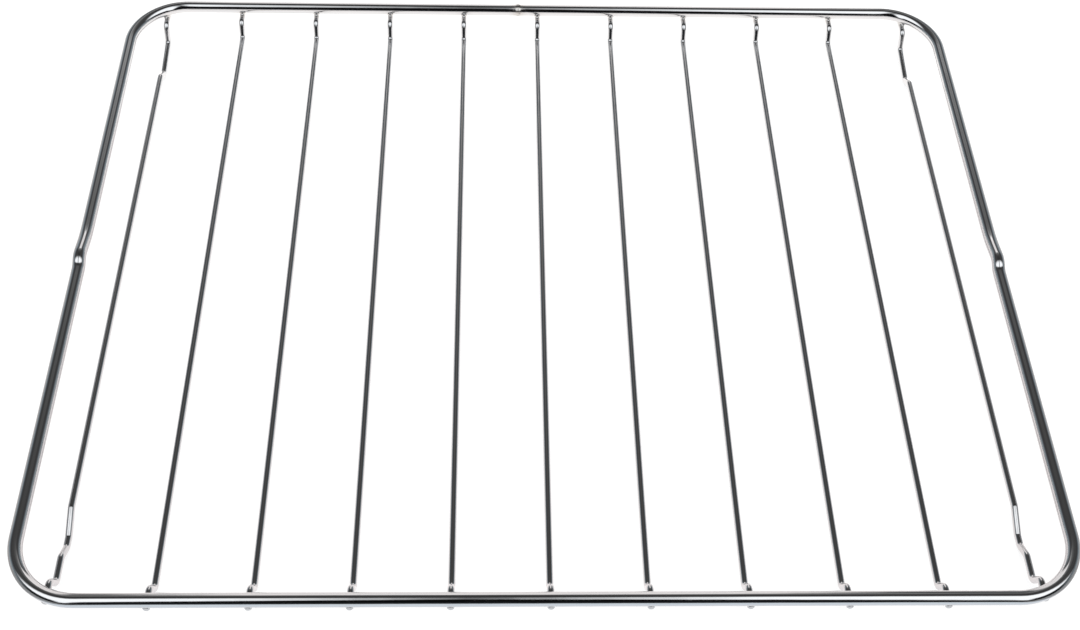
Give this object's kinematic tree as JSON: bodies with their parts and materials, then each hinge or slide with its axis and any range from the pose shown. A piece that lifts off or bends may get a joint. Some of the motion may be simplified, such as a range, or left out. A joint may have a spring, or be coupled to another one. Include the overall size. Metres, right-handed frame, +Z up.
{
  "type": "oven grill rack",
  "caption": "Chrome wire rack for an oven: a thick wire frame with rounded corners, thin rods welded across under it, a hump in each side bar and feet pressed into the outer rods.",
  "frame": {"origin": "under the middle of the rack, at the level of the bottom of its feet", "axes": "+X along the front bar to the right, +Y from the front bar to the rear bar with the butt weld, +Z up"},
  "size_m": [0.44, 0.3604, 0.0231],
  "materials": {
    "frame_chrome": "bright chrome plate on thick drawn wire",
    "rod_chrome": "bright chrome plate on thin drawn wire"
  },
  "bodies": {
    "root": {"frame_wire": "frame_chrome", "rod_01": "rod_chrome", "rod_02": "rod_chrome", "rod_03": "rod_chrome", "rod_04": "rod_chrome", "rod_05": "rod_chrome", "rod_06": "rod_chrome", "rod_07": "rod_chrome", "rod_08": "rod_chrome", "rod_09": "rod_chrome", "rod_10": "rod_chrome", "rod_11": "rod_chrome"}
  },
  "joints": []
}
